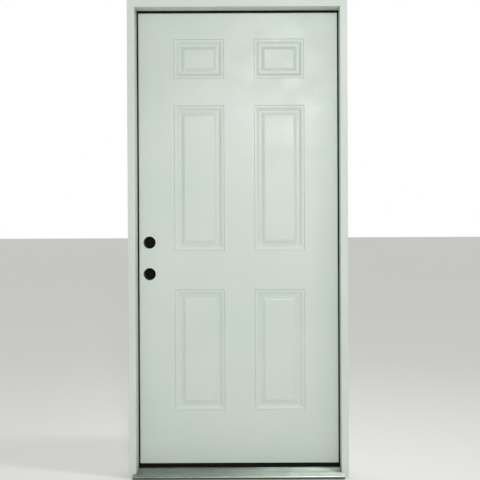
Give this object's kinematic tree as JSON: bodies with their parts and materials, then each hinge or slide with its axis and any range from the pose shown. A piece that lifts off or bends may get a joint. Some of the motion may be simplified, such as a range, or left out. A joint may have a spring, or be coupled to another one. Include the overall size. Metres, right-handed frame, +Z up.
{
  "type": "panelled front door with frame",
  "caption": "Prehung panelled steel front door that swings inwards on butt hinges in a rabbeted frame with seals, a sloped aluminium sill and empty lock holes.",
  "frame": {"origin": "on the floor under the sill, in the middle of the frame's width and depth", "axes": "+X towards the hinge side seen from outdoors, +Y indoors, +Z up"},
  "size_m": [0.9524, 0.1555, 2.0805],
  "materials": {
    "door_paint": "satin factory primer on pressed steel",
    "frame_paint": "primed, satin",
    "bare_wood": "planed",
    "composite": "moulded",
    "foam": "rigid foam",
    "sill_metal": "mill finish with fine lines along its length",
    "black_vinyl": "satin",
    "seal_foam": "matte skin",
    "hinge_steel": "satin",
    "screw_steel": "zinc plated"
  },
  "bodies": {
    "frame": {"strike_jamb": "frame_paint", "hinge_jamb": "frame_paint", "head_jamb": "frame_paint", "strike_seal": "seal_foam", "hinge_seal": "seal_foam", "head_seal": "seal_foam", "strike_corner_pad": "seal_foam", "hinge_corner_pad": "seal_foam", "sill_base": "composite", "sill_deck": "sill_metal", "sill_cap": "black_vinyl", "sill_screws": "screw_steel", "head_screws": "screw_steel", "upper_jamb_leaf": "hinge_steel", "middle_jamb_leaf": "hinge_steel", "lower_jamb_leaf": "hinge_steel", "jamb_leaf_screws": "screw_steel", "upper_hinge_pin": "hinge_steel", "middle_hinge_pin": "hinge_steel", "lower_hinge_pin": "hinge_steel"},
    "door": {"exterior_skin": "door_paint", "interior_skin": "door_paint", "latch_stile": "bare_wood", "hinge_stile": "bare_wood", "top_rail": "bare_wood", "bottom_rail": "composite", "lock_block": "bare_wood", "foam_core": "foam", "door_sweep": "black_vinyl", "upper_door_leaf": "hinge_steel", "middle_door_leaf": "hinge_steel", "lower_door_leaf": "hinge_steel", "door_leaf_screws": "screw_steel"}
  },
  "joints": [
    {"name": "door_swing", "type": "hinge", "parent": "frame", "child": "door", "pos_m": [0.4556, 0.0645, 0], "axis": [0, 0, -1], "range_deg": [0, 170]}
  ]
}
